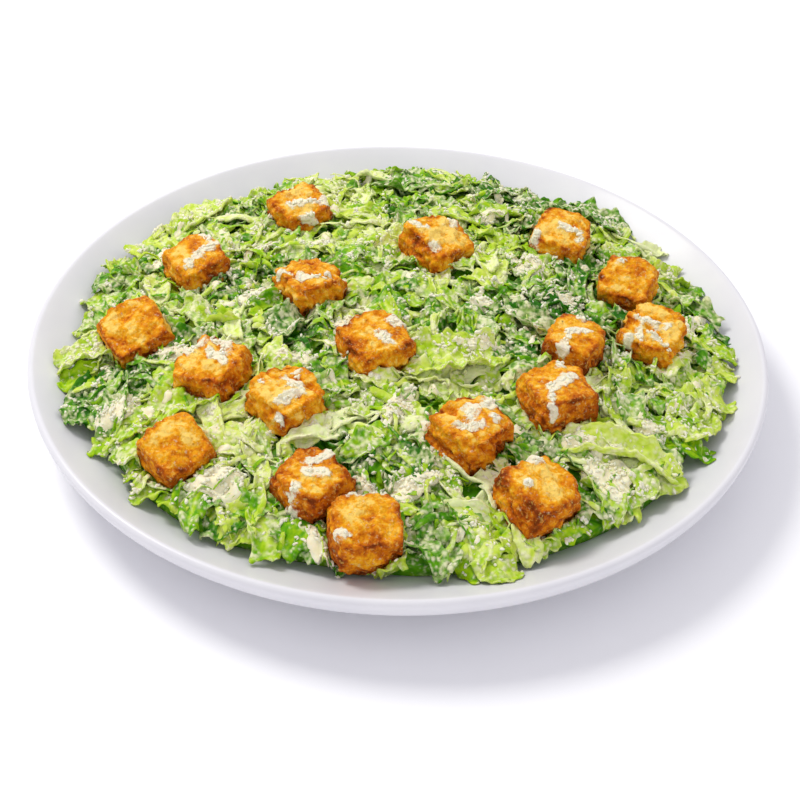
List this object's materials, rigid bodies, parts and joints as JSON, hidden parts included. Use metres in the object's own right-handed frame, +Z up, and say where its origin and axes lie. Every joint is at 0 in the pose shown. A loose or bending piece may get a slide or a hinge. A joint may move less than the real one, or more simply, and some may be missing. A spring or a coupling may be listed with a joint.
{
  "type": "caesar salad",
  "caption": "Chopped romaine in creamy dressing with grated hard cheese and toasted bread cubes, heaped on a round shallow white plate.",
  "frame": {"origin": "centre of the plate's foot ring, on the surface that the plate stands on", "axes": "+Z up out of the plate, -Y towards the side that the picture is taken from, +X to its right"},
  "size_m": [0.305, 0.305, 0.0556],
  "materials": {
    "ceramic": "white glazed porcelain, smooth and glossy, with a faint lavender cast in the shade",
    "greens": "chopped romaine, dark to yellow-green with pale ribs, coated in cream dressing and grated cheese",
    "toast": "toasted bread, craggy and dry, golden on the faces and browner along the edges"
  },
  "bodies": {
    "root": {"plate": "ceramic", "dressed_leaves": "greens", "crouton_01": "toast", "crouton_02": "toast", "crouton_03": "toast", "crouton_04": "toast", "crouton_05": "toast", "crouton_06": "toast", "crouton_07": "toast", "crouton_08": "toast", "crouton_09": "toast", "crouton_10": "toast", "crouton_11": "toast", "crouton_12": "toast", "crouton_13": "toast", "crouton_14": "toast", "crouton_15": "toast", "crouton_16": "toast", "crouton_17": "toast", "crouton_18": "toast"}
  },
  "joints": []
}
